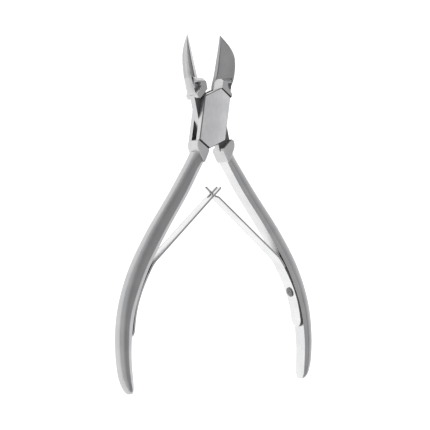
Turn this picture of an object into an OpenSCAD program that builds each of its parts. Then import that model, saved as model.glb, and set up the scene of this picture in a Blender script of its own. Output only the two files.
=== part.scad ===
// Box joint nail nippers: two forged halves that cross in a pass-through
// box joint, a pair of hollow-ground cutting jaws and two leaf springs
// that meet in a fork and a tongue between the handles.
// Frame: the nippers lie on the rear cheek of the box. +Z is up, out of the
// front cheek. +Y points to the jaws. The origin is on the hinge axis, in
// the plane of the rear cheek. All sizes are in millimetres, jaws open.

/* [Box joint] */
// Angle that each half turns from open to closed
half_angle = 12.3; // [9:0.1:12.8]
// Thickness of the box, across both cheeks
box_t = 9.5; // [9:0.1:11]
// Thickness of each cheek
cheek_t = 3.0; // [2.6:0.1:3.2]
// Width of the box across its long sides
box_w = 11.8; // [11:0.1:12.2]
// Lean of the box from the middle line, jaws open
box_lean = 10.3; // [9:0.1:11]
// Height of each plate above the neck around it
plate_proud = 0.25; // [0.1:0.05:0.4]
// Diameter of the hinge pin
pin_d = 4.6; // [4:0.1:5]
// Radial clearance of the hinge pin in the tongue
pin_gap = 0.05; // [0.02:0.01:0.09]
// Flat clearance on each side of the tongue
tongue_gap = 0.1; // [0.05:0.01:0.15]

/* [Jaws] */
// Distance from the hinge to the tip of the jaws
jaw_tip = 34.0; // [32:0.1:35]
// Distance from the hinge to the heel of the jaws
jaw_heel = 14.4; // [14:0.1:15]
// Gap of each cutting edge from the middle plane when closed
edge_gap = 0.06; // [0.03:0.01:0.12]
// Height of the cutting edges above the rear face
edge_z = 2.2; // [1.8:0.1:2.6]

/* [Handles] */
// Distance from the hinge to the ends of the handles
handle_end = 106; // [100:0.5:110]
// Radius of the rounded handle ends
end_r = 3.4; // [2.5:0.1:4]
// Depth of the rounded back of the handles
back_r = 4.4; // [3.8:0.1:4.6]

/* [Springs] */
// Thickness of the spring leaves
leaf_t = 0.8; // [0.6:0.05:1]
// Width of a leaf at its screw
leaf_w = 6.6; // [6:0.1:6.8]
// Width of a leaf before its fork or tongue
leaf_w_tip = 5.2; // [5:0.1:5.6]
// Distance from the hinge to the point where the leaves cross
cross_y = 29.8; // [29:0.1:31]
// Distance from the hinge to the screws, along the middle line
screw_y = 70; // [68:0.5:74]
// Distance from the hinge to the point where the leaves leave the handles
leave_y = 57; // [56:0.5:60]
// Distance from the hinge to the fixed end of the leaves
leaf_end_y = 84.5; // [80:0.5:88]
// Diameter of the screw heads
head_d = 3.6; // [3:0.1:4]
// Diameter of the screw shanks
screw_d = 2.0; // [1.6:0.1:2.4]

/* [Hidden] */
$fn = 48;
steel = "silver";
zc = box_t / 2;                       // middle plane of the tool
slot_lo = cheek_t;                    // the slot that takes the tongue
slot_hi = box_t - cheek_t;
ca = cos(half_angle);
sa = sin(half_angle);
tongue_r = 9.2;                       // rounded ends of the tongue
web_v = 9.5;                          // inner end walls of the slot
web_u = 0.35;                         // webs and arms keep this far from the middle plane

// Handle stations: distance below the hinge, inner face, thickness across, height
HS = [[-12, 3.1, 5.4, 8.6], [-16, 4.9, 5.9, 7.4], [-22, 8.3, 6.4, 7.0], [-30, 13.2, 6.9, 7.1],
      [-45, 23.5, 7.2, 7.5], [-60, 32.4, 6.7, 7.6], [-75, 38.2, 5.7, 7.5],
      [-90, 40.1, 4.9, 7.4], [-106, 39.2, 4.1, 6.9]];
// Jaw stations: distance from the hinge, then across and up for the front
// ridge and the outside, and the width of the ground strip behind the edge
JS = [[13.0, 8.6, 8.3, 10.3, 0.8], [14.4, 9.0, 8.0, 11.2, 1.0], [16, 9.2, 8.0, 11.8, 1.2],
      [18, 9.6, 8.0, 12.05, 1.3], [22, 10.3, 7.9, 12.2, 1.2], [25, 10.4, 7.4, 12.0, 1.0],
      [27, 10.2, 6.7, 11.4, 0.9], [29, 9.8, 5.7, 10.75, 0.8], [31, 9.1, 4.5, 9.8, 0.65],
      [33, 8.1, 3.2, 8.5, 0.4], [34, 7.62, 2.6, 7.8, 0.15]];

// Smooth curve through column k of a station table
function seg(T, y, i = 0) = (i >= len(T) - 2 || (T[1][0] > T[0][0] ? y <= T[i + 1][0] : y >= T[i + 1][0])) ? i : seg(T, y, i + 1);
function slope(T, i, k) =
    let (a = max(i - 1, 0), b = min(i + 1, len(T) - 1)) (T[b][k] - T[a][k]) / (T[b][0] - T[a][0]);
function at(T, y, k) =
    let (i = seg(T, y), h = T[i + 1][0] - T[i][0], s = (y - T[i][0]) / h)
    (2*s*s*s - 3*s*s + 1) * T[i][k] + (s*s*s - 2*s*s + s) * h * slope(T, i, k)
    + (-2*s*s*s + 3*s*s) * T[i + 1][k] + (s*s*s - s*s) * h * slope(T, i + 1, k);

// Closed skin over a list of rings with the same number of points
module skin(rings) {
    n = len(rings[0]);
    m = len(rings);
    polyhedron(
        points = [for (r = rings) for (p = r) p],
        faces = concat(
            [for (j = [0:m - 2]) for (i = [0:n - 1]) [j*n + i, j*n + (i + 1) % n, (j + 1)*n + i]],
            [for (j = [0:m - 2]) for (i = [0:n - 1]) [j*n + (i + 1) % n, (j + 1)*n + (i + 1) % n, (j + 1)*n + i]],
            [for (i = [1:n - 2]) [0, i + 1, i]],
            [for (i = [1:n - 2]) [(m - 1)*n, (m - 1)*n + i, (m - 1)*n + i + 1]]));
}

// Right handle: flat inner face, rounded back, rounded end
function end_s(y) = let (d = y + handle_end) d >= end_r ? 1 : sqrt(max(1 - pow((end_r - d) / end_r, 2), 0.004));
function handle_ring(y) =
    let (s = end_s(y), t = at(HS, y, 2), w = at(HS, y, 3) * (0.25 + 0.75*s), xm = at(HS, y, 1) + t/2,
         tt = t * s, xi = xm - tt/2 - (1 - s) * 0.5, e = min(back_r, tt - 0.1*s), c = min(0.35, w/6) * s)
    concat([[xi, y, zc + w/2 - c], [xi, y, zc - w/2 + c], [xi + c, y, zc - w/2]],
           [for (a = [-80:20:80]) [xi + tt - e + e*cos(a), y, zc + w/2 * sin(a)]],
           [[xi + c, y, zc + w/2]]);
module handle() {
    ys = concat([for (y = [12:3:99]) -y], [for (k = [0:6]) -handle_end + end_r * (1 - sin(15*k)) + 0.002]);
    skin([for (k = [len(ys) - 1:-1:0]) handle_ring(ys[k])]);
}

// Right jaw: cutting edge, ground strip, hollow face, ridge, rounded outside, flat back
function edge_x(y) = y * sa/ca + edge_gap/ca;
function jaw_ring(y, in = 0) =
    let (xe = edge_x(y) + in, xr = at(JS, y, 1) - in*0.6, zr = at(JS, y, 2) - in*0.6, xo = at(JS, y, 3) - in, s = at(JS, y, 4),
         f = min(1, (jaw_tip + 0.6 - y) / 8), ze = edge_z - 0.6 * max(0, 18 - y)/4)
    [[xe, y, ze], [xe + s, y, ze + 0.55*s], [xr, y, zr], [xo - 0.35*f, y, zr - 0.9*f], [xo, y, ze + 0.62*(zr - ze)],
     [xo - 0.25*f, y, ze + 0.15*(zr - ze)], [xo - 1.4*f, y, ze - 0.75*f], [xe + 0.62*(xo - xe), y, ze - 1.5*f]];
module jaw() {
    ys = concat([for (y = [jaw_heel + 0.6:1.4:32.6]) y], [33.4, jaw_tip]);
    // the root ring is drawn in, so that the jaw is rooted inside its neck
    skin(concat([for (k = [len(ys) - 1:-1:0]) jaw_ring(ys[k])], [jaw_ring(jaw_heel - 1, 1.1)]));
}

// Outline of a cheek; g grows it on every side
module plate(g = 0) {
    hw = box_w/2 + g;
    vs = 7.95 + g*0.7;
    vl = 9.65 + g*0.7;
    tu = 0.9;
    tv = 12.05 + g;
    rotate(-box_lean) translate([-0.2, 0])
        polygon([[-hw, vs], [tu, tv], [hw, vl], [hw, -vs], [-tu, -tv], [-hw, -vl]]);
}

// Full-thickness necks of a half, seen from the front: by the jaw and by the handle
module neck_top() {
    polygon([[2.9, 11.0], [3.4, 12.1], [3.85, jaw_heel], [11.1, jaw_heel], [9.9, 13.2], [9.2, 11.0], [7.0, 7.9], [4.5, 8.6]]);
}
module neck_low() {
    polygon([[3.7, -12.9], [3.3, -11.9], [7.3, -8.3], [8.4, -9.0], [9.4, -11.4], [10.7, -15.6], [5.2, -16.4]]);
}

// Half plane that holds the web or arm on one side of the middle plane, half closed
module side_region(top) {
    rotate(-half_angle)
        if (top) translate([web_u, 5]) square([20, 20]);
        else translate([-20 - web_u, -25]) square([20, 20]);
}

// Part of the box half that closes the ends of the slot
module webs() {
    intersection() {
        union() { plate(); neck_top(); mirror([1, 0]) neck_low(); }
        side_region(true);
        rotate(-box_lean) translate([-15, web_v]) square([30, 15]);
    }
    intersection() {
        union() { plate(); neck_top(); mirror([1, 0]) neck_low(); }
        side_region(false);
        rotate(-box_lean) translate([-15, -web_v - 15]) square([30, 15]);
    }
}

// Outline of the tongue, with an arm to the left jaw and one to the right handle
module tongue() {
    intersection() {
        rotate(box_lean) translate([-6.2, -13.4]) square([12.4, 26.4]);
        union() {
            circle(r = tongue_r, $fn = 96);
            mirror([1, 0]) side_region(true);
            mirror([1, 0]) side_region(false);
        }
    }
}

// Room that the cheeks sweep past the necks of the tongue half as it turns
module cheek_sweep() {
    for (k = [0:10]) rotate(k * half_angle / 5) plate(0.3);
}

// Inward normal of the right handle's inner face, and a frame on it at a screw
function face_n(y) = let (dx = at(HS, y - 1, 1) - at(HS, y + 1, 1), l = sqrt(dx*dx + 4)) [-2/l, -dx/l];
module at_screw(y = -screw_y) {
    n = face_n(y);
    translate([at(HS, y, 1), y, zc]) rotate([0, 0, atan2(n[1], n[0])]) rotate([0, 90, 0]) children();
}

// Half with the right jaw, the two cheeks and the left handle
module box_half() {
    color(steel) difference() {
        union() {
            for (z = [0, slot_hi]) translate([0, 0, z]) linear_extrude(cheek_t) plate();
            for (z = [plate_proud, slot_hi]) translate([0, 0, z]) linear_extrude(cheek_t - plate_proud) {
                neck_top();
                mirror([1, 0]) neck_low();
            }
            translate([0, 0, slot_lo - 0.5]) linear_extrude(slot_hi - slot_lo + 1) webs();
            jaw();
            mirror([1, 0, 0]) handle();
        }
        translate([0, 0, -1]) cylinder(d = pin_d, h = slot_hi + 1 + cheek_t * 0.6);
        mirror([1, 0, 0]) at_screw() translate([0, 0, -3.6]) cylinder(d = screw_d, h = 5);
    }
}

// Half with the left jaw, the tongue and the right handle
module tongue_half() {
    color(steel) difference() {
        union() {
            translate([0, 0, slot_lo + tongue_gap]) linear_extrude(slot_hi - slot_lo - 2*tongue_gap) tongue();
            difference() {
                translate([0, 0, plate_proud]) linear_extrude(box_t - 2*plate_proud) {
                    mirror([1, 0]) neck_top();
                    neck_low();
                }
                for (z = [-1, slot_hi - tongue_gap]) translate([0, 0, z]) linear_extrude(cheek_t + 1 + tongue_gap) cheek_sweep();
            }
            mirror([1, 0, 0]) jaw();
            handle();
        }
        translate([0, 0, -1]) cylinder(d = pin_d + 2*pin_gap, h = box_t + 2);
        at_screw() translate([0, 0, -3.6]) cylinder(d = screw_d, h = 5);
    }
}

// Hinge pin, flush with the rear cheek and hidden by the front cheek
module pivot_pin() {
    color(steel) {
        cylinder(d1 = pin_d - 0.3, d2 = pin_d - 0.02, h = 0.14);
        translate([0, 0, 0.14]) cylinder(d = pin_d - 0.02, h = slot_hi + cheek_t * 0.6 - 0.24);
    }
}

// Path of a right leaf: lies on the handle, then runs straight to the crossing
function lift(y, d) = let (n = face_n(y)) [at(HS, y, 1) + n[0]*d, y + n[1]*d];
root_gap = 0.05;
leave = lift(-leave_y, root_gap + leaf_t/2);
cross = [0, -cross_y];
leaf_dir = (cross - leave) / norm(cross - leave);
tip_end = cross + leaf_dir * 4.2;

// Fixed part of a right leaf, on the handle, with the screw hole
module spring_root() {
    ys = [for (k = [0:12]) -leaf_end_y + (leaf_end_y - leave_y - 0.9) * k / 12];
    difference() {
        intersection() {
            translate([0, 0, zc - leaf_w/2]) linear_extrude(leaf_w)
                polygon(concat([for (y = ys) lift(y, root_gap)], [for (k = [12:-1:0]) lift(ys[k], root_gap + leaf_t)]));
            // rounded fixed end
            translate([0, 0, zc]) rotate([0, 90, 0]) translate([0, 0, 10]) union() {
                translate([0, -leaf_end_y + leaf_w/2]) cylinder(d = leaf_w, h = 50);
                translate([-leaf_w/2, -leaf_end_y + leaf_w/2, 0]) cube([leaf_w, 60, 50]);
            }
        }
        at_screw() translate([0, 0, -2]) cylinder(d = screw_d, h = 5);
    }
}

// Free part of a right leaf in its own plane: along, up
module blade_profile(l, fork) {
    wr = leaf_w/2;
    wt = leaf_w_tip/2;
    notch = 6.9;                         // length of the fork or tongue
    if (fork) difference() {
        polygon([[0, -wr], [l - notch, -wt], [l, -wt + 0.6], [l, wt - 0.6], [l - notch, wt], [0, wr]]);
        translate([l - notch, -1.0]) square([notch + 1, 2.0]);
    }
    else polygon([[0, -wr], [l - notch - 1.2, -wt], [l - notch, -0.65], [l, -0.55], [l, 0.55], [l - notch, 0.65], [l - notch - 1.2, wt], [0, wr]]);
}
module spring_blade(fork) {
    l = norm(tip_end - leave);
    translate([leave[0], leave[1], zc]) rotate([0, 0, atan2(leaf_dir[1], leaf_dir[0])])
        rotate([90, 0, 0]) translate([0, 0, -leaf_t/2]) linear_extrude(leaf_t) blade_profile(l, fork);
}

// Spring screw with a low round head, in the handle and through the leaf
module spring_screw() {
    at_screw() {
        translate([0, 0, -3.4]) cylinder(d = screw_d - 0.03, h = 3.4 + root_gap + leaf_t + 0.2);
        translate([0, 0, root_gap + leaf_t + 0.02]) difference() {
            union() {
                cylinder(d = head_d, h = 0.5);
                translate([0, 0, 0.5]) cylinder(d1 = head_d, d2 = head_d - 0.9, h = 0.35, $fn = 48);
            }
            translate([-head_d, -0.25, 0.45]) cube([2*head_d, 0.5, 1]);
        }
    }
}

module left_spring_root() { color(steel) mirror([1, 0, 0]) spring_root(); }
module left_spring_blade() { color(steel) mirror([1, 0, 0]) spring_blade(true); }
module left_spring_screw() { color(steel) mirror([1, 0, 0]) spring_screw(); }
module right_spring_root() { color(steel) spring_root(); }
module right_spring_blade() { color(steel) spring_blade(false); }
module right_spring_screw() { color(steel) spring_screw(); }

box_half();
tongue_half();
pivot_pin();
left_spring_root();
left_spring_blade();
left_spring_screw();
right_spring_root();
right_spring_blade();
right_spring_screw();
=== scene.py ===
# Box joint nail nippers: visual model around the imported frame.
# Shapes are worked out in millimetres in the row frame and scaled to metres at the end.
import bpy, bmesh, math
import numpy as np
from mathutils import Vector, Matrix


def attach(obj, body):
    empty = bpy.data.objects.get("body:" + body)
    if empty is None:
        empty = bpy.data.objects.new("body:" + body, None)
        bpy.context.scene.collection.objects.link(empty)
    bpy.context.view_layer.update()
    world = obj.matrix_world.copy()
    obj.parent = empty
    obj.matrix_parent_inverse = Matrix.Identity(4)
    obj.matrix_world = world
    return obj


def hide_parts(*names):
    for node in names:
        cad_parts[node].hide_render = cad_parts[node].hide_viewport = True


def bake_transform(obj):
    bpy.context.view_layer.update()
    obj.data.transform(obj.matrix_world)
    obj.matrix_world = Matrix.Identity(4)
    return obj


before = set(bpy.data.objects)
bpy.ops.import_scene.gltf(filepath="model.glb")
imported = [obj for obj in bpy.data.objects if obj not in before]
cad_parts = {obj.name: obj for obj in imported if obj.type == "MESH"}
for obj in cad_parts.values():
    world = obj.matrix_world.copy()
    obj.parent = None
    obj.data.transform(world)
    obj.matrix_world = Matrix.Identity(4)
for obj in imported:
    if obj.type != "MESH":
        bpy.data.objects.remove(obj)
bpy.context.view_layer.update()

MM = 0.001

# ------------------------------------------------------------------ driving sizes (mm), as in the CAD model
HALF = math.radians(12.3)
SA, CA = math.sin(HALF), math.cos(HALF)
T = 9.5
ZC = T / 2
CHEEK = 3.0
LO, HI = CHEEK, T - CHEEK
BOX_W, LEAN = 11.8, math.radians(10.3)
PROUD = 0.28
CROWN = 0.22
TG = 0.1
TIP, HEEL = 34.0, 14.4
EDGE_GAP = 0.06
END_Y, END_R, BACK_R = 106.0, 3.4, 4.4
LEAF_T, LEAF_W, LEAF_W_TIP = 0.8, 6.6, 5.2
CROSS_Y, SCREW_Y, LEAVE_Y, LEAF_END_Y = 29.8, 70.0, 57.0, 84.5
HEAD_D = 4.0
ROOT_GAP = 0.05

HS = [(-12, 3.1, 5.4, 8.6), (-16, 4.9, 5.9, 7.4), (-22, 8.3, 6.4, 7.0), (-30, 13.2, 6.9, 7.1), (-45, 23.5, 7.2, 7.5),
      (-60, 32.4, 6.7, 7.6), (-75, 38.2, 5.7, 7.5), (-90, 40.1, 4.9, 7.4), (-106, 39.2, 4.1, 6.9)]


def at(tab, y, k):
    """Smooth curve through column k of a station table, the same rule as the CAD model."""
    up = tab[1][0] > tab[0][0]
    i = 0
    while i < len(tab) - 2 and not (y <= tab[i + 1][0] if up else y >= tab[i + 1][0]):
        i += 1

    def sl(j):
        a, b = max(j - 1, 0), min(j + 1, len(tab) - 1)
        return (tab[b][k] - tab[a][k]) / (tab[b][0] - tab[a][0])
    h = tab[i + 1][0] - tab[i][0]
    s = (y - tab[i][0]) / h
    return ((2*s**3 - 3*s*s + 1) * tab[i][k] + (s**3 - 2*s*s + s) * h * sl(i)
            + (-2*s**3 + 3*s*s) * tab[i + 1][k] + (s**3 - s*s) * h * sl(i + 1))


def rot2(p, a):
    c, s = math.cos(a), math.sin(a)
    return [(x * c - y * s, x * s + y * c) for x, y in p]


def mirror2(p):
    return [(-x, y) for x, y in reversed(p)]


# ------------------------------------------------------------------ materials
def link(nt, a, b):
    nt.links.new(a, b)


def node(nt, kind, **kw):
    n = nt.nodes.new(kind)
    for k, v in kw.items():
        setattr(n, k, v)
    return n


def steel(name, tone, rough, streak_turn=0.0, streak=0.5, grain=0.35, edge=0.25, coarse=0.0):
    """Worn satin steel: fine brushed streaks, a soft cloud of handling marks, bright worn edges."""
    m = bpy.data.materials.new(name)
    m.use_nodes = True
    nt = m.node_tree
    nt.nodes.clear()
    out = node(nt, "ShaderNodeOutputMaterial")
    sh = node(nt, "ShaderNodeBsdfPrincipled")
    link(nt, sh.outputs["BSDF"], out.inputs["Surface"])
    sh.inputs["Metallic"].default_value = 1.0
    tc = node(nt, "ShaderNodeTexCoord")
    # brushed streaks, long in one direction
    mp = node(nt, "ShaderNodeMapping")
    mp.inputs["Rotation"].default_value = (0, 0, streak_turn)
    mp.inputs["Scale"].default_value = (5200, 260, 5200)
    link(nt, tc.outputs["Object"], mp.inputs["Vector"])
    st = node(nt, "ShaderNodeTexNoise")
    st.inputs["Scale"].default_value = 1.0
    st.inputs["Detail"].default_value = 4.0
    st.inputs["Roughness"].default_value = 0.62
    link(nt, mp.outputs["Vector"], st.inputs["Vector"])
    # fine matt grain
    gr = node(nt, "ShaderNodeTexNoise")
    gr.inputs["Scale"].default_value = 5200.0
    gr.inputs["Detail"].default_value = 3.0
    gr.inputs["Roughness"].default_value = 0.7
    link(nt, tc.outputs["Object"], gr.inputs["Vector"])
    # soft clouds: polish and handling
    cl = node(nt, "ShaderNodeTexNoise")
    cl.inputs["Scale"].default_value = 130.0
    cl.inputs["Detail"].default_value = 5.0
    cl.inputs["Roughness"].default_value = 0.55
    link(nt, tc.outputs["Object"], cl.inputs["Vector"])
    # worn edges
    bv = node(nt, "ShaderNodeBevel", samples=6)
    bv.inputs["Radius"].default_value = 0.00028
    ge = node(nt, "ShaderNodeNewGeometry")
    dt = node(nt, "ShaderNodeVectorMath", operation="DOT_PRODUCT")
    link(nt, bv.outputs["Normal"], dt.inputs[0])
    link(nt, ge.outputs["Normal"], dt.inputs[1])
    wr = node(nt, "ShaderNodeMapRange")
    wr.inputs["From Min"].default_value = 0.995
    wr.inputs["From Max"].default_value = 0.80
    wr.inputs["To Min"].default_value = 0.0
    wr.inputs["To Max"].default_value = 1.0
    link(nt, dt.outputs["Value"], wr.inputs["Value"])
    wn = node(nt, "ShaderNodeMath", operation="MULTIPLY")
    link(nt, wr.outputs["Result"], wn.inputs[0])
    cr = node(nt, "ShaderNodeMapRange")
    cr.inputs["From Min"].default_value = 0.3
    cr.inputs["From Max"].default_value = 0.6
    cr.inputs["To Min"].default_value = 0.3
    link(nt, cl.outputs["Fac"], cr.inputs["Value"])
    link(nt, cr.outputs["Result"], wn.inputs[1])
    # colour
    c1 = node(nt, "ShaderNodeMix", data_type="RGBA")
    c1.inputs["A"].default_value = (tone * 0.93, tone * 0.935, tone * 0.95, 1)
    c1.inputs["B"].default_value = (tone * 1.05, tone * 1.05, tone * 1.055, 1)
    mixf = node(nt, "ShaderNodeMapRange")
    mixf.inputs["From Min"].default_value = 0.35
    mixf.inputs["From Max"].default_value = 0.65
    link(nt, cl.outputs["Fac"], mixf.inputs["Value"])
    link(nt, mixf.outputs["Result"], c1.inputs["Factor"])
    c2 = node(nt, "ShaderNodeMix", data_type="RGBA", blend_type="MULTIPLY")
    c2.inputs["Factor"].default_value = 1.0
    sv = node(nt, "ShaderNodeMapRange")
    sv.inputs["From Min"].default_value = 0.3
    sv.inputs["From Max"].default_value = 0.7
    sv.inputs["To Min"].default_value = 1.0 - 0.10 * streak
    sv.inputs["To Max"].default_value = 1.0 + 0.06 * streak
    link(nt, st.outputs["Fac"], sv.inputs["Value"])
    link(nt, c1.outputs["Result"], c2.inputs["A"])
    link(nt, sv.outputs["Result"], c2.inputs["B"])
    c3 = node(nt, "ShaderNodeMix", data_type="RGBA")
    c3.inputs["B"].default_value = (min(1, tone + edge), min(1, tone + edge), min(1, tone + edge + 0.005), 1)
    link(nt, wn.outputs["Value"], c3.inputs["Factor"])
    link(nt, c2.outputs["Result"], c3.inputs["A"])
    link(nt, c3.outputs["Result"], sh.inputs["Base Color"])
    # roughness: streaks and clouds, smoother where it is worn
    r1 = node(nt, "ShaderNodeMapRange")
    r1.inputs["From Min"].default_value = 0.3
    r1.inputs["From Max"].default_value = 0.7
    r1.inputs["To Min"].default_value = rough - 0.05
    r1.inputs["To Max"].default_value = rough + 0.06
    link(nt, st.outputs["Fac"], r1.inputs["Value"])
    r2 = node(nt, "ShaderNodeMapRange")
    r2.inputs["From Min"].default_value = 0.3
    r2.inputs["From Max"].default_value = 0.7
    r2.inputs["To Min"].default_value = -0.035
    r2.inputs["To Max"].default_value = 0.035
    link(nt, cl.outputs["Fac"], r2.inputs["Value"])
    r3 = node(nt, "ShaderNodeMath", operation="ADD")
    link(nt, r1.outputs["Result"], r3.inputs[0])
    link(nt, r2.outputs["Result"], r3.inputs[1])
    r4 = node(nt, "ShaderNodeMath", operation="MULTIPLY_ADD")
    r4.inputs[1].default_value = -0.08
    link(nt, wn.outputs["Value"], r4.inputs[0])
    link(nt, r3.outputs["Value"], r4.inputs[2])
    link(nt, r4.outputs["Value"], sh.inputs["Roughness"])
    # bump: streaks over matt grain
    b1 = node(nt, "ShaderNodeBump")
    b1.inputs["Strength"].default_value = grain
    b1.inputs["Distance"].default_value = 0.000012
    link(nt, gr.outputs["Fac"], b1.inputs["Height"])
    b2 = node(nt, "ShaderNodeBump")
    b2.inputs["Strength"].default_value = streak
    b2.inputs["Distance"].default_value = 0.000012
    link(nt, st.outputs["Fac"], b2.inputs["Height"])
    link(nt, b1.outputs["Normal"], b2.inputs["Normal"])
    b3 = node(nt, "ShaderNodeBump")
    b3.inputs["Strength"].default_value = 0.25
    b3.inputs["Distance"].default_value = 0.00003
    link(nt, cl.outputs["Fac"], b3.inputs["Height"])
    link(nt, b2.outputs["Normal"], b3.inputs["Normal"])
    link(nt, b3.outputs["Normal"], sh.inputs["Normal"])
    return m


# finishes of the forged halves: satin back, ground flats, ground facet, cutting strip, polished inner face; the dark
# slot and seam tones, the near-black left facet and the darker copies for the right back and left jaw are painted shade
HALF_MATS = [
    steel("satin_back", 0.46, 0.33, streak_turn=0.55, streak=0.3, grain=0.45),
    steel("ground_flat", 0.91, 0.34, streak_turn=-0.75, streak=0.8, grain=0.25),
    steel("ground_facet", 0.335, 0.30, streak_turn=0.1, streak=0.6, grain=0.2),
    steel("cutting_strip", 0.94, 0.42, streak_turn=1.3, streak=0.5, grain=0.2),
    steel("polished_inner", 0.63, 0.30, streak_turn=0.5, streak=0.35, grain=0.2),
    # painted shade: near-black tone for the walls of the slot and the plate grooves
    steel("slot_painted_shade", 0.15, 0.45, streak_turn=0.0, streak=0.3, grain=0.4, edge=0.1),
    steel("satin_side", 0.52, 0.36, streak_turn=0.2, streak=0.35, grain=0.35),
    # painted shade: dark tone for the plate's chamfer ring and the tongue's recessed faces
    steel("seam_painted_shade", 0.18, 0.40, streak_turn=0.2, streak=0.3, grain=0.35, edge=0.12),
    # painted shade: the left jaw's facet, a near-black copy of the ground facet
    steel("ground_facet_left_painted_shade", 0.07, 0.32, streak_turn=0.1, streak=0.6, grain=0.2),
    steel("neck_front", 0.58, 0.38, streak_turn=0.3, streak=0.4, grain=0.3),
    steel("neck_flat", 0.66, 0.38, streak_turn=0.6, streak=0.5, grain=0.3),
    # painted shade: darker copy of the satin back for the tongue half's handle
    steel("satin_back_right_painted_shade", 0.38, 0.33, streak_turn=-0.55, streak=0.3, grain=0.45),
    # painted shade: darker copies of the satin side for the left jaw's outside and ridge
    steel("jaw_outer_left_painted_shade", 0.41, 0.36, streak_turn=0.2, streak=0.35, grain=0.35),
    steel("jaw_ridge_left_painted_shade", 0.48, 0.36, streak_turn=0.2, streak=0.35, grain=0.35),
]
BACK, FLAT, FACET, STRIP, INNER, SLOT_SHADE, SIDE, SEAM_SHADE, FACET_L_SHADE, NECKF, NECKL, BACK_R2_SHADE, JAW_OUT_SHADE, JAW_RIDGE_SHADE = range(14)
SPRING_MATS = [steel("spring_face", 0.66, 0.28, streak_turn=-0.6, streak=0.5, grain=0.15),
               steel("spring_edge", 0.50, 0.36, streak_turn=-0.6, streak=0.3, grain=0.3),
               # painted shadow: near-black edge tone for the fixed root of the right leaf
               steel("spring_edge_root_painted_shadow", 0.13, 0.36, streak_turn=-0.6, streak=0.3, grain=0.3)]
MAT_PIN = steel("pin_end", 0.60, 0.36, streak_turn=0.9, streak=0.8, grain=0.3)
MAT_SCREW = steel("screw_dark", 0.17, 0.32, streak_turn=0.2, streak=0.5, grain=0.3, edge=0.22)


# ------------------------------------------------------------------ mesh helpers
def new_obj(name, verts, faces, mats=None, index=0):
    me = bpy.data.meshes.new(name)
    me.from_pydata([tuple(map(float, v)) for v in verts], [], faces)
    for m in mats if mats is not None else HALF_MATS:
        me.materials.append(m)
    me.polygons.foreach_set("material_index", index if isinstance(index, list) else [index] * len(faces))
    ob = bpy.data.objects.new(name, me)
    bpy.context.scene.collection.objects.link(ob)
    fix_normals(ob)
    return ob


def fix_normals(ob):
    bm = bmesh.new()
    bm.from_mesh(ob.data)
    bmesh.ops.recalc_face_normals(bm, faces=bm.faces)
    if bm.calc_volume(signed=True) < 0:
        bmesh.ops.reverse_faces(bm, faces=bm.faces)
    bm.to_mesh(ob.data)
    bm.free()
    return ob


def prism(name, poly, z0, z1, top=None, side=0, cap=None, mats=None):
    """Closed prism over a polygon; top is another polygon of the same length for a bevelled one."""
    n = len(poly)
    top = top or poly
    v = [(x, y, z0) for x, y in poly] + [(x, y, z1) for x, y in top]
    f = [tuple(range(n)), tuple(range(n, 2 * n))] + [(i, (i + 1) % n, n + (i + 1) % n, n + i) for i in range(n)]
    cap = side if cap is None else cap
    return new_obj(name, v, f, mats, [cap, cap] + [side] * n)


def loft(name, rings, mat=None, mats=None, ends=(0, 0)):
    """Closed skin over rings; mat(j, i) gives the finish of the face between ring j and j + 1 at point i."""
    n, m = len(rings[0]), len(rings)
    v = [p for r in rings for p in r]
    f = [(j*n + i, j*n + (i + 1) % n, (j + 1)*n + (i + 1) % n, (j + 1)*n + i) for j in range(m - 1) for i in range(n)]
    idx = [mat(j, i) if mat else 0 for j in range(m - 1) for i in range(n)]
    f += [tuple(range(n)), tuple((m - 1)*n + i for i in range(n))]
    return new_obj(name, v, f, mats, idx + list(ends))


def apply(ob):
    dg = bpy.context.evaluated_depsgraph_get()
    me = bpy.data.meshes.new_from_object(ob.evaluated_get(dg))
    old = ob.data
    ob.modifiers.clear()
    ob.data = me
    bpy.data.meshes.remove(old)
    return ob


def boolean(a, b, op):
    m = a.modifiers.new("b", "BOOLEAN")
    m.material_mode = "INDEX"
    m.operation = op
    m.solver = "EXACT"
    m.object = b
    bpy.context.view_layer.update()
    apply(a)
    bpy.data.objects.remove(b)
    return a


def union(a, *bs):
    for b in bs:
        boolean(a, b, "UNION")
    return a


def cut(a, *bs):
    for b in bs:
        boolean(a, b, "DIFFERENCE")
    return a


def flip(ob):
    """Mirror an object across the middle plane."""
    for v in ob.data.vertices:
        v.co.x = -v.co.x
    ob.data.flip_normals()
    return ob


def place(ob, m):
    ob.data.transform(m)
    return ob


def rounded(poly, r, n=4, only=None):
    """Polygon with its corners rounded by short arcs. r is one radius or one per corner."""
    out = []
    k = len(poly)
    for i, p in enumerate(poly):
        ri = r[i] if isinstance(r, (list, tuple)) else r
        a, b = Vector(poly[i - 1]) - Vector(p), Vector(poly[(i + 1) % k]) - Vector(p)
        la, lb = a.length, b.length
        if ri <= 0:
            out.append(tuple(p))
            continue
        a.normalize(), b.normalize()
        half = math.acos(max(-1, min(1, a.dot(b)))) / 2
        d = min(ri / math.tan(half), 0.45 * la, 0.45 * lb)
        q0, q2 = Vector(p) + a * d, Vector(p) + b * d
        for j in range(n + 1):
            t = j / n
            q = q0 * (1 - t)**2 + Vector(p) * 2 * t * (1 - t) + q2 * t * t
            out.append((q.x, q.y))
    return out


# ------------------------------------------------------------------ outlines
def plate(g=0.0):
    hw, vs, vl, tu, tv = BOX_W/2 + g, 7.95 + g*0.7, 9.65 + g*0.7, 0.9, 12.4 + g
    p = [(-hw, vs), (tu, tv), (hw, vl), (hw, -vs), (-tu, -tv), (-hw, -vl)]
    return rot2([(x - 0.2, y) for x, y in p], -LEAN)


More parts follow.
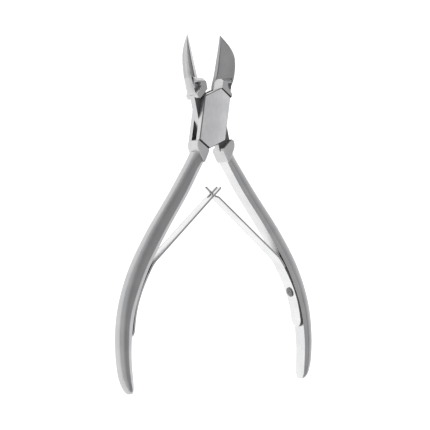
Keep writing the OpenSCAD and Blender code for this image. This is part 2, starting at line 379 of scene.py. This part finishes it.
NECK_TOP = [(2.9, 10.6), (3.4, 12.1), (3.85, HEEL), (4.3, HEEL + 0.35), (7.9, HEEL + 0.35), (7.85, 13.3), (7.8, 11.6), (7.95, 10.2),
            (8.2, 9.0), (7.4, 8.0), (4.0, 7.0)]
NECK_LOW = [(3.3, -13.0), (3.3, -11.9), (7.3, -8.2), (8.3, -8.7), (8.6, -9.8), (8.65, -11.0), (8.45, -11.9), (8.05, -12.9), (7.6, -13.9),
            (7.1, -15.0), (6.6, -16.0), (6.15, -16.85), (5.75, -17.3), (5.4, -17.1), (4.9, -16.4)]


# ------------------------------------------------------------------ handles
def end_s(y):
    d = y + END_Y
    return 1.0 if d >= END_R else math.sqrt(max(1 - ((END_R - d) / END_R)**2, 0.004))


def handle_ring(y):
    """Section of a right handle: flat inner face, wide shallow chamfers to a crease, rounded back."""
    s = end_s(y)
    d = y + END_Y
    g = 1.0 if d > 9 else math.sqrt(max(1 - ((9 - d) / 9.7)**2, 0.05))
    t, w = at(HS, y, 2) * g, at(HS, y, 3) * (0.12 + 0.88*s)
    xi = at(HS, y, 1)
    k = min(1.0, max(0.0, (-y - 12.5) / 8.0))
    k = k * k * (3 - 2*k)
    ca_ = min(1.75, 0.30 * t) * (0.15 + 0.85*k) * (0.4 + 0.6*s)      # chamfer, across
    cb = 0.42 * s * (0.3 + 0.7*k)                       # chamfer, down
    h = w / 2
    c = 0.10 * s
    pts = [(xi, h - cb - c), (xi, h * 0.5), (xi, 0), (xi, -h * 0.5), (xi, -h + cb + c), (xi + 0.5*c, -h + cb + 0.2*c), (xi + c, -h + cb)]
    for j in (1, 2, 3):
        pts.append((xi + c + (ca_ - c) * j / 4, -h + cb * (1 - j / 4)))
    # rounded back, full at the sides; it starts a little inclined at the crease
    e = t - ca_
    k2 = 40
    for i in range(k2 + 1):
        a = math.radians(-80 + 160 * i / k2)
        x = (math.cos(a) - math.cos(math.radians(80))) / (1 - math.cos(math.radians(80)))
        z = math.sin(a) / math.sin(math.radians(80))
        pts.append((xi + ca_ + e * x**0.92, h * math.copysign(abs(z)**0.86, z)))
    for j in (3, 2, 1):
        pts.append((xi + c + (ca_ - c) * j / 4, h - cb * (1 - j / 4)))
    pts += [(xi + c, h - cb), (xi + 0.5*c, h - cb - 0.2*c)]
    return [(x, y, ZC + z) for x, z in pts]


def handle(back=BACK):
    ys = [-13.1] + [-13.5 - 0.5 * i for i in range(17)] + [-22.0 - 1.0 * i for i in range(80)]
    ys = [y for y in ys if y > -END_Y + END_R + 0.4]
    ys += [-END_Y + END_R * (1 - math.sin(math.radians(6 * k))) + 0.01 for k in range(16)]
    n = len(handle_ring(-30))

    def mat(j, i):
        return INNER if i < 10 or i >= n - 6 else back
    return loft("h", [handle_ring(y) for y in ys], mat)


# ------------------------------------------------------------------ jaws
# distance from the hinge, then ridge across and up, outside across and up, width of the strip, inner edge
JS = [(9.2, 8.1, 8.7, 9.0, 4.6, 1.2), (10.5, 8.3, 8.1, 9.6, 4.6, 1.2), (12.5, 8.65, 7.6, 10.0, 4.7, 1.2), (14.4, 9.3, 7.95, 10.6, 5.0, 1.2),
      (16, 9.85, 8.15, 11.1, 5.3, 1.2), (18, 10.3, 8.15, 11.45, 5.5, 1.25), (20, 10.65, 8.15, 11.65, 5.5, 1.25), (22, 10.85, 8.05, 11.75, 5.5, 1.2),
      (25, 10.9, 7.55, 11.6, 5.2, 1.05), (27, 10.6, 6.75, 11.15, 4.8, 0.95), (29, 10.0, 5.7, 10.45, 4.3, 0.85), (31, 9.15, 4.35, 9.45, 3.5, 0.7),
      (33, 8.1, 3.0, 8.25, 2.6, 0.4), (34, 7.6, 2.35, 7.68, 2.2, 0.1)]
JN = 33


def jaw_ring(y, inset=0.0):
    """Section of a right jaw: cutting edge, ground strip, hollow facet, rounded ridge, steep side, swept-in back."""
    xe = max(y, 13.2) * SA / CA + EDGE_GAP / CA + inset
    xr, zr, xo, zo, s = (at(JS, y, k) for k in range(1, 6))
    xr -= inset * 0.6; zr -= inset * 0.6; xo -= inset
    ze = 2.3 - 0.12 * max(0, 18 - max(y, 14)) + (0 if y < 29 else -0.04 * (y - 29))
    q = min(1.0, max(0.02, (zo - 1.9) / 3.6))
    p0, p1 = (xe, ze), (xe + s, ze + 0.22 * s)
    nx, nz = (zr - p1[1]), -(xr - p1[0])
    L = math.hypot(nx, nz)
    ux, uz = (xr - p1[0]) / L, (zr - p1[1]) / L
    rr = min(0.5 * q, L * 0.2)
    pts = [p0, (xe + s * 0.5, ze + 0.11 * s), p1]
    hollow = 0.36 * q
    for i in range(1, 13):
        t = i / 12 * (1 - rr / L)
        dd = hollow * 4 * t * (1 - t)
        pts.append((p1[0] + (xr - p1[0]) * t + nx / L * dd, p1[1] + (zr - p1[1]) * t + nz / L * dd))
    # ridge rounded into the side
    sx, sz = xo - xr, zo - zr
    sl = math.hypot(sx, sz)
    a0, a1, a2 = pts[-1], (xr, zr), (xr + sx / sl * rr * 1.3, zr + sz / sl * rr * 1.3)
    for i in range(1, 6):
        t = i / 5
        pts.append(tuple(a0[k] * (1 - t)**2 + 2 * a1[k] * t * (1 - t) + a2[k] * t * t for k in (0, 1)))
    ctrl = [a2, (xr + .55*sx + .10*q, zr + .5*sz), (xo + .02*q, zo), (xo - .25*q, zo - 1.3*q), (xo - 1.1*q, zo - 2.9*q), (xo - 2.2*q, max(0.9, ze - 1.35*q)), (xo - 3.6*q, max(0.8, ze - 1.45*q))]
    c = [a1] + ctrl + [ctrl[-1]]
    for i in range(1, len(ctrl)):
        for j in (1, 2):
            t = j / 2
            w = c[i - 1], c[i], c[i + 1], c[i + 2]
            pts.append(tuple(0.5 * ((2*w[1][k]) + (-w[0][k] + w[2][k]) * t + (2*w[0][k] - 5*w[1][k] + 4*w[2][k] - w[3][k]) * t*t
                                    + (-w[0][k] + 3*w[1][k] - 3*w[2][k] + w[3][k]) * t**3) for k in (0, 1)))
    lx, lz = pts[-1]
    pts += [(lx + (xe - lx) * t, lz + (ze - lz) * t - 0.12 * q * 4 * t * (1 - t)) for t in (0.35, 0.7)]
    if y > 32:
        pts = [p0] + [(max(x, xe + 0.012 + 0.05 * abs(ze - z)), z) for x, z in pts[1:]]
    return [(x, y, z) for x, z in pts]


def jaw_mat(y, facet):
    def mat(j, i):
        if i < 2:
            return STRIP
        if y[j] < HEEL + 1.3:
            return SIDE
        # the left jaw's facet, ridge and outside take darker copies of the ground facet and satin side: painted shade
        if facet == FACET_L_SHADE:
            return facet if i < 15 else JAW_RIDGE_SHADE if i < 22 else JAW_OUT_SHADE
        return facet if i < 15 else SIDE
    return mat


def jaw(facet):
    ys = [9.3, 9.9, 10.6, 11.4, 12.2, 13.0, 13.8, 14.6, 15.2, HEEL + 1.5] + [16.4 + 0.5 * i for i in range(34)]
    ys = [y for y in ys if y < 32.9] + [33.2, 33.5, 33.75, 33.9, TIP]
    return loft("j", [jaw_ring(y) for y in ys], jaw_mat(ys, facet), ends=(SIDE, SIDE))


def ledge(front=NECKF):
    """Block of the neck behind the heel of the facet; its front slopes up to the flat of the box."""
    zt, zb = T - PROUD, 1.2
    top = [(3.85, HEEL + 0.1), (4.2, HEEL + 0.35), (7.7, HEEL + 0.35), (7.8, 12.0), (5, 11.0), (3.4, 12.0)]
    low = [(3.85, HEEL + 0.4), (4.3, HEEL + 1.5), (9.0, HEEL + 1.9), (8.7, 12.0), (5, 11.0), (3.4, 12.0)]
    rings = [[(x, y, zb) for x, y in low], [(x, y, 7.4) for x, y in low], [(x, y, zt - 0.004) for x, y in top]]
    return loft("l", rings, lambda j, i: front if j else SIDE, ends=(SIDE, front))


def hollow_cut(mir=False):
    """Triangular hollow between the outer wall and the shoulder, cut into the front and the back of the neck."""
    out = []
    top = [(8.9, 14.5), (6.1, 14.0), (5.9, 12.8), (7.2, 10.9), (7.8, 9.7), (8.5, 10.9), (8.9, 12.4)]
    cx, cy = 7.5, 12.8
    for z0, z1 in ((T - PROUD + 0.3, 6.3), (PROUD - 0.3, 2.3)):
        low = [(cx + (x - cx) * 0.5, cy + (y - cy) * 0.5) for x, y in top]
        a = [(x, y) for x, y in rounded(top, 0.35)]
        b = [(x, y) for x, y in rounded(low, 0.16)]
        out.append(prism("hc", a, z0, z1, b, side=INNER))
    return out


# ------------------------------------------------------------------ the two halves
def half_plane(side_top, mir=False):
    x0 = 0.35
    p = [(x0, 5), (x0 + 20, 5), (x0 + 20, 25), (x0, 25)] if side_top else [(-20 - x0, -25), (-x0, -25), (-x0, -5), (-20 - x0, -5)]
    p = rot2(p, -HALF)
    return mirror2(p) if mir else p


def window():
    """Space between the cheeks that the tongue turns in, as prisms to cut from the box half."""
    out = []
    big = [(-16, -9.5), (16, -9.5), (16, 9.5), (-16, 9.5)]
    out.append(rot2(big, -LEAN))
    out.append(rot2([(-20, 4), (0.35, 4), (0.35, 17), (-20, 17)], -HALF))
    out.append(rot2([(-0.35, -17), (20, -17), (20, -4), (-0.35, -4)], -HALF))
    return out


def raised_plate(z0, up):
    """Ground plate of a cheek: a crowned face with a chamfered border, as one closed piece."""
    base, rim = plate(0.0), plate(-0.36)
    k = 10

    def fine(p):
        n = len(p)
        return [(p[i][0] + (p[(i + 1) % n][0] - p[i][0]) * j / k, p[i][1] + (p[(i + 1) % n][1] - p[i][1]) * j / k)
                for i in range(n) for j in range(k)]
    a, b = fine(base), fine(rim)

    def crown(x, y):
        u = x * math.cos(LEAN) - y * math.sin(LEAN)
        return -CROWN * (u / (BOX_W/2))**2
    rings = [[(x, y, z0) for x, y in a], [(x, y, T - 0.36 - CROWN if up else 0.36 + CROWN) for x, y in a]]
    for s in (1.0, 0.86, 0.7, 0.54, 0.38, 0.2):
        rings.append([(x * s, y * s, T + crown(x*s, y*s) if up else -crown(x*s, y*s)) for x, y in b])
    # the chamfer ring (j == 1) takes the dark seam tone: a painted shadow line round the plate
    return loft("p", rings, lambda j, i: FLAT if j >= 2 else SEAM_SHADE if j == 1 else SIDE, ends=(FLAT, FLAT))


def bevelled(poly, zlo, zhi, inset=0.22, drop=0.22, round_in=0.0, cap=9):
    """Prism with rounded corners and its front and back edges broken."""
    poly = ccw(poly)
    n = len(poly)
    inn = []
    for i in range(n):
        a, p, b = Vector(poly[i - 1]), Vector(poly[i]), Vector(poly[(i + 1) % n])
        e1, e2 = (p - a).normalized(), (b - p).normalized()
        m = Vector((-e1.y - e2.y, e1.x + e2.x))
        q = p + m / max(m.length_squared / 2, 0.5) * inset
        inn.append((q.x, q.y))
    out, inn = rounded(poly, 0.25), rounded(inn, 0.1)

    def draw(p, d):
        return [(x - math.copysign(d, x) * max(0.0, min(1.0, (abs(x) - 6.2) / 1.5)), y) for x, y in p]
    rings = [[(x, y, zlo) for x, y in draw(inn, round_in)], [(x, y, zlo + drop * 2) for x, y in draw(out, round_in * 0.45)],
             [(x, y, 3.0) for x, y in out], [(x, y, zhi - drop) for x, y in out], [(x, y, zhi) for x, y in inn]]
    return loft("b", rings, lambda j, i: SIDE, ends=(cap, cap))


def AREA(p):
    return sum(p[i - 1][0] * p[i][1] - p[i][0] * p[i - 1][1] for i in range(len(p)))


def ccw(p):
    return p if AREA(p) > 0 else list(reversed(p))


def neck_and_jaw(facet, front):
    """Upper neck and jaw of a right half, with the hollows cut in."""
    top = bevelled(NECK_TOP, PROUD, T - PROUD, 0.15, 0.15, 0.0, front)
    union(top, jaw(facet), ledge(front))
    for d in hollow_cut():
        cut(top, d)
    return top


def box_half():
    zlo, zhi = PROUD, T - PROUD
    top = neck_and_jaw(FACET, NECKF)
    low = bevelled(mirror2(NECK_LOW), zlo, zhi, 0.25, 0.3, 0.7, NECKL)
    # groove round each plate; its walls take the dark slot tone, a painted shadow line in the groove
    for part in (top, low):
        for z0, z1 in ((zhi - 0.5, T + 3), (-3, zlo + 0.5)):
            cut(part, prism("g", plate(0.42), z0, z1, side=SLOT_SHADE))
    body = raised_plate(HI, True)
    union(body, top)
    union(body, low)
    union(body, raised_plate(LO, False))
    # the window walls take the dark slot tone: painted shade between the cheeks
    for w in window():
        cut(body, prism("w", w, LO - 0.004, HI + 0.004, side=SLOT_SHADE))
    return union(body, flip(handle()))


def tongue_half():
    zlo, zhi = PROUD, T - PROUD
    # the left jaw's facet takes the near-black copy of the ground facet: painted shade
    top = flip(neck_and_jaw(FACET_L_SHADE, SIDE))
    low = bevelled(NECK_LOW, zlo, zhi, 0.25, 0.3, 0.7, NECKL)
    # room for the cheeks, swept over the whole turn
    sweep = [rot2(plate(0.3), k * HALF / 5) for k in range(11)]
    for part in (top, low):
        for z0, z1 in ((HI - TG, T + 4), (-4, LO + TG)):
            s = prism("s", sweep[0], z0, z1, side=SIDE)
            for p in sweep[1:]:
                union(s, prism("s", p, z0, z1, side=SIDE))
            cut(part, s)
    # tongue; its front and back faces take the dark seam tone, painted shade in the recess beside the cheeks
    tz0, tz1 = LO + TG, HI - TG
    disc = [(9.2 * math.cos(2*math.pi*i/96), 9.2 * math.sin(2*math.pi*i/96)) for i in range(96)]
    t = prism("t", disc, tz0, tz1, side=SIDE, cap=SEAM_SHADE)
    union(t, prism("t", half_plane(True, True), tz0, tz1, side=SIDE, cap=SEAM_SHADE), prism("t", half_plane(False, True), tz0, tz1, side=SIDE, cap=SEAM_SHADE))
    bar = prism("t", rot2([(-6.2, -13.4), (6.2, -13.4), (6.2, 13.0), (-6.2, 13.0)], LEAN), tz0 - 1, tz1 + 1, side=SIDE)
    boolean(t, bar, "INTERSECT")
    # the tongue half's handle back takes the darker copy of the satin back: painted shade
    return union(t, top, low, handle(BACK_R2_SHADE))


def finish_mesh(ob, bevel=0.12, seg=2, angle=38):
    """Welds, rounds the sharp edges a little and shades the mesh."""
    bm = bmesh.new()
    bm.from_mesh(ob.data)
    bmesh.ops.remove_doubles(bm, verts=bm.verts, dist=0.002)
    bmesh.ops.dissolve_degenerate(bm, dist=0.002, edges=bm.edges)
    bm.to_mesh(ob.data)
    bm.free()
    if bevel:
        m = ob.modifiers.new("bv", "BEVEL")
        m.width, m.segments, m.limit_method, m.angle_limit = bevel, seg, "ANGLE", math.radians(angle)
        m.use_clamp_overlap = True
        m.miter_outer = "MITER_SHARP"
        m.harden_normals = False
        bpy.context.view_layer.update()
        apply(ob)
    shade(ob)
    m = ob.modifiers.new("wn", "WEIGHTED_NORMAL")
    m.keep_sharp = True
    m.weight = 80
    bpy.context.view_layer.update()
    apply(ob)
    return ob


def shade(ob, angle=30):
    me = ob.data
    me.polygons.foreach_set("use_smooth", [True] * len(me.polygons))
    me.set_sharp_from_angle(angle=math.radians(angle))
    return ob


def to_metres(ob):
    ob.data.transform(Matrix.Scale(MM, 4))
    ob.data.update()
    return ob


# ------------------------------------------------------------------ springs
def face_n(y):
    dx = at(HS, y - 1, 1) - at(HS, y + 1, 1)
    l = math.sqrt(dx*dx + 4)
    return (-2/l, -dx/l)


def lift(y, d):
    n = face_n(y)
    return (at(HS, y, 1) + n[0]*d, y + n[1]*d)


def leaf_path():
    """Middle line of a right leaf, from its fixed end to its tip, and the distance along it."""
    def off(y):
        a = abs(y + SCREW_Y)
        return ROOT_GAP + LEAF_T/2 + 0.30 * (min(1.0, max(0.0, (a - 2.0) / 8.0)))**1.3
    pts = [lift(-LEAF_END_Y + (LEAF_END_Y - LEAVE_Y - 3.0) * k / 40, off(-LEAF_END_Y + (LEAF_END_Y - LEAVE_Y - 3.0) * k / 40)) for k in range(41)]
    leave = np.array(lift(-LEAVE_Y, ROOT_GAP + LEAF_T/2))
    cross = np.array((0, -CROSS_Y))
    d = (cross - leave) / np.linalg.norm(cross - leave)
    tip = cross + d * 4.2
    a = np.array(pts[-1]); a0 = np.array(pts[-2])
    b = leave + d * 3.4
    ta = (a - a0) / np.linalg.norm(a - a0)
    # smooth bend from the handle's face to the straight blade
    for k in range(1, 17):
        t = k / 16
        h = np.linalg.norm(b - a)
        q = ((2*t**3 - 3*t*t + 1) * a + (t**3 - 2*t*t + t) * h * ta + (-2*t**3 + 3*t*t) * b + (t**3 - t*t) * h * d)
        pts.append(tuple(q))
    n = 36
    for k in range(1, n + 1):
        pts.append(tuple(b + (tip - b) * k / n))
    P = np.array(pts)
    s = np.concatenate([[0], np.cumsum(np.linalg.norm(np.diff(P, axis=0), axis=1))])
    return P, s


def leaf_mat(j, i):
    """The edges of a leaf are sheared, its faces are polished. Ring points run round four corners of three."""
    return 1 if j >= 46 and i in (0, 1, 2, 3, 6, 7, 8, 9) else 0


def leaf_mat_root(j, i):
    # edges of the fixed root take the near-black tone, a painted shadow of the gap between leaf and handle; further on,
    # the sheared edge tone
    return (2 if j < 46 else 1) if i in (0, 1, 2, 3, 6, 7, 8, 9) else 0


def leaf(name, fork):
    """A leaf spring as one strip: rounded fixed end, taper, fork or tongue. Swept along its path."""
    P, s = leaf_path()
    tan = np.gradient(P, axis=0)
    tan /= np.linalg.norm(tan, axis=1)[:, None]
    nor = np.stack([tan[:, 1], -tan[:, 0]], 1)
    total = s[-1]
    leave_s = s[41]
    notch = total - (6.9 if fork else 5.3)

    def half_w(u):
        if u < LEAF_W/2:
            return math.sqrt(max((LEAF_W/2)**2 - (LEAF_W/2 - u)**2, 0.02))
        if u < leave_s:
            return LEAF_W/2
        if u < notch:
            return LEAF_W/2 + (LEAF_W_TIP - LEAF_W)/2 * (u - leave_s) / (notch - leave_s)
        return LEAF_W_TIP/2
    us = sorted(set([LEAF_W/2 * (1 - math.cos(math.radians(a))) for a in range(4, 91, 8)] + [u for u in s if u > LEAF_W/2 + 0.2 and u < notch - 1.4]))

    def frame_at(u):
        x = np.interp(u, s, P[:, 0]); y = np.interp(u, s, P[:, 1])
        nx = np.interp(u, s, nor[:, 0]); ny = np.interp(u, s, nor[:, 1])
        l = math.hypot(nx, ny)
        return x, y, nx / l, ny / l

    def ring(u, z0, z1, t=LEAF_T, r=0.13):
        x, y, nx, ny = frame_at(u)
        h = t / 2
        r = min(r, (z1 - z0) * 0.3)
        q = []
        for (cx, cz, a0) in ((h - r, z1 - r, 0), (-h + r, z1 - r, 90), (-h + r, z0 + r, 180), (h - r, z0 + r, 270)):
            for a in (0, 45, 90):
                A = math.radians(a0 + a)
                q.append((cx + r * math.cos(A), cz + r * math.sin(A)))
        return [(x + nx * c, y + ny * c, z) for c, z in q]
    rings = [ring(u, ZC - half_w(u), ZC + half_w(u)) for u in us]
    wt = LEAF_W_TIP / 2
    if fork:
        rings += [ring(u, ZC - half_w(u), ZC + half_w(u)) for u in np.linspace(notch - 1.2, total - 0.01, 12)]
        # prongs narrow and round off at their tips
        last = []
        for k in range(1, 6):
            u = total - 0.9 + 0.9 * math.sin(math.radians(18 * k))
            last.append(ring(u, ZC - wt + 0.6 + 0.5 * (1 - math.cos(math.radians(18 * k))), ZC + wt - 0.6 - 0.5 * (1 - math.cos(math.radians(18 * k)))))
        rings = rings[:-1] + last
        ob = loft(name, rings, leaf_mat, SPRING_MATS)
        x, y, nx, ny = frame_at(total - 3)
        d = np.array([-ny, nx]) if (np.array([-ny, nx]) @ tan[-1]) > 0 else np.array([ny, -nx])
        # slot between the prongs, with a round bottom, square to the blade
        m = Matrix(((d[0], 0, nx, x), (d[1], 0, ny, y), (0, 1, 0, ZC), (0, 0, 0, 1)))
        slot = [(-3.9 + 1.0 + math.cos(a) * 1.0, math.sin(a) * 1.0) for a in [math.pi/2 + math.pi * i / 12 for i in range(13)]] + [(5, -1.0), (5, 1.0)]
        c = prism("c", slot, -2, 2, side=1, mats=SPRING_MATS)
        place(c, m)
        fix_normals(c)
        cut(ob, c)
    else:
        def tw(u):
            v = u - (notch - 1.2)
            k = min(1.0, max(0.0, v / 1.5))
            k = k * k * (3 - 2 * k)
            return wt * (1 - k) + 0.62 * k - 0.02 * max(0, v - 1.2) / 6
        rings += [ring(u, ZC - tw(u), ZC + tw(u)) for u in list(np.linspace(notch - 1.2, notch + 0.6, 12)) + list(np.linspace(notch + 1.0, total - 0.35, 8))]
        rings += [ring(total - 0.35 + 0.35 * math.sin(math.radians(k * 22.5)), ZC - 0.55 * math.cos(math.radians(k * 20)), ZC + 0.55 * math.cos(math.radians(k * 20))) for k in range(1, 5)]
        ob = loft(name, rings, leaf_mat_root, SPRING_MATS)
    return ob


def screw(name):
    """Low round-headed screw with a slot, turned about its axis."""
    prof = [(0.0, 0.42), (0.7, 0.42), (1.25, 0.40), (HEAD_D/2 - 0.35, 0.36)]
    r = HEAD_D / 2
    head = [(0, -0.4), (r * 0.55, -0.4), (r * 0.55, 0.0), (r - 0.06, 0.0), (r, 0.06), (r, 0.34), (r - 0.1, 0.5), (r - 0.32, 0.66), (r - 0.7, 0.79), (r - 1.15, 0.86), (0, 0.88)]
    n = 48
    rings = []
    v, f = [], []
    for i in range(n):
        a = 2 * math.pi * i / n
        for (rr, zz) in head[1:-1]:
            v.append((rr * math.cos(a), rr * math.sin(a), zz))
    k = len(head) - 2
    for i in range(n):
        j = (i + 1) % n
        for q in range(k - 1):
            f.append((i*k + q, j*k + q, j*k + q + 1, i*k + q + 1))
    f.append(tuple(i*k for i in range(n)))
    f.append(tuple(i*k + k - 1 for i in range(n)))
    ob = new_obj(name, v, f, [MAT_SCREW])
    c = prism("c", [(-3, -0.24), (3, -0.24), (3, 0.24), (-3, 0.24)], 0.42, 2, mats=[MAT_SCREW])
    place(c, Matrix.Rotation(math.radians(28), 4, "Z"))
    cut(ob, c)
    y = -SCREW_Y
    nn = face_n(y)
    base = lift(y, ROOT_GAP + LEAF_T + 0.02)
    zax = Vector((nn[0], nn[1], 0)); xax = Vector((0, 0, 1)); yax = zax.cross(xax)
    m = Matrix(((xax.x, yax.x, zax.x, base[0]), (xax.y, yax.y, zax.y, base[1]), (xax.z, yax.z, zax.z, ZC), (0, 0, 0, 1)))
    place(ob, m)
    return ob


def pin_face():
    """Rear end of the hinge pin, ground flush."""
    n = 64
    r = 2.29
    v, f = [], []
    prof = [(r, 1.2), (r, 0.12), (r - 0.05, 0.04), (r - 0.14, 0.0), (r * 0.6, 0.0)]
    for i in range(n):
        a = 2 * math.pi * i / n
        v += [(rr * math.cos(a), rr * math.sin(a), zz) for rr, zz in prof]
    k = len(prof)
    for i in range(n):
        j = (i + 1) % n
        f += [(i*k + q, j*k + q, j*k + q + 1, i*k + q + 1) for q in range(k - 1)]
    f.append(tuple(i*k for i in range(n)))
    f.append(tuple(i*k + k - 1 for i in range(n)))
    return new_obj("hinge_pin", v, f, [MAT_PIN])


# ------------------------------------------------------------------ pieces
def piece(ob, name):
    ob.name = name
    ob.data.name = name
    to_metres(ob)
    return ob


F = finish_mesh(box_half(), 0.1)
piece(F, "box_half_body")
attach(F, "box_side")
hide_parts("box_half")

M = finish_mesh(tongue_half(), 0.1)
piece(M, "tongue_half_body")
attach(M, "tongue_side")
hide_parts("tongue_half")

P = shade(pin_face())
piece(P, "hinge_pin")
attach(P, "box_side")
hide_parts("pivot_pin")

leave = lift(-LEAVE_Y, ROOT_GAP + LEAF_T/2)
ldir = np.array((0 - leave[0], -CROSS_Y - leave[1])); ldir /= np.linalg.norm(ldir)
for side, fork, a, b in (("right", False, "tongue_side", "right_leaf"), ("left", True, "box_side", "left_leaf")):
    L = leaf(side + "_spring_leaf", fork)
    if side == "left":
        flip(L)
    shade(L, 35)
    piece(L, side + "_spring_leaf")
    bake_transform(L)
    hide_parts(side + "_spring_root", side + "_spring_blade")
    S = screw(side + "_screw")
    if side == "left":
        flip(S)
    finish_mesh(S, 0.04, 1)
    piece(S, side + "_spring_screw_head")
    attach(S, a)
    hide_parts(side + "_spring_screw")

# ------------------------------------------------------------------ camera
cam_data = bpy.data.cameras.new("cam")
cam_data.lens = 127.1
cam_data.sensor_width = 36
cam_data.clip_start = 0.01
cam_data.clip_end = 20
cam = bpy.data.objects.new("cam", cam_data)
bpy.context.scene.collection.objects.link(cam)
r = Vector((0.85153114, -0.03117636, 0.52337629)); u = Vector((0.01923488, 0.99941615, 0.02823792)); c = Vector((-0.52395108, -0.01397838, 0.85163365))
cam.matrix_world = Matrix(((r.x, u.x, c.x, -0.314863), (r.y, u.y, c.y, -0.046549), (r.z, u.z, c.z, 0.518135), (0, 0, 0, 1)))
bpy.context.scene.camera = cam

# ------------------------------------------------------------------ floor, world, lights
fm = bpy.data.materials.new("floor")
fm.use_nodes = True
nt = fm.node_tree
nt.nodes.clear()
out = node(nt, "ShaderNodeOutputMaterial")
em = node(nt, "ShaderNodeEmission")
em.inputs["Color"].default_value = (1, 1, 1, 1)
em.inputs["Strength"].default_value = 1.35
link(nt, em.outputs["Emission"], out.inputs["Surface"])
R = 4.0
floor = new_obj("floor", [(-R, -R, -0.0002), (R, -R, -0.0002), (R, R, -0.0002), (-R, R, -0.0002)], [(0, 1, 2, 3)], [fm])

world = bpy.data.worlds.new("studio")
bpy.context.scene.world = world
world.use_nodes = True
nt = world.node_tree
nt.nodes.clear()
out = node(nt, "ShaderNodeOutputWorld")
bg = node(nt, "ShaderNodeBackground")
tc = node(nt, "ShaderNodeTexCoord")
sp = node(nt, "ShaderNodeSeparateXYZ")
link(nt, tc.outputs["Generated"], sp.inputs["Vector"])
ramp = node(nt, "ShaderNodeValToRGB")
mr = node(nt, "ShaderNodeMapRange")
mr.inputs["From Min"].default_value = -1.0
mr.inputs["From Max"].default_value = 1.0
link(nt, sp.outputs["X"], mr.inputs["Value"])
link(nt, mr.outputs["Result"], ramp.inputs["Fac"])
els = ramp.color_ramp.elements


def grey(v):
    return (v, v, v * 1.01, 1)


stops = [(0.0, 0.64), (0.10, 0.85), (0.20, 0.76), (0.29, 0.46), (0.36, 0.34), (0.42, 0.36), (0.50, 0.48), (0.60, 0.50), (0.70, 0.44), (0.80, 0.59), (0.88, 0.72), (0.94, 0.95), (1.0, 1.3)]
els[0].position, els[0].color = stops[0][0], grey(stops[0][1])
els[1].position, els[1].color = stops[-1][0], grey(stops[-1][1])
for p, v in stops[1:-1]:
    e = els.new(p)
    e.color = grey(v)
link(nt, ramp.outputs["Color"], bg.inputs["Color"])
bg.inputs["Strength"].default_value = 1.0
link(nt, bg.outputs["Background"], out.inputs["Surface"])

bpy.context.scene.view_settings.view_transform = "Standard"
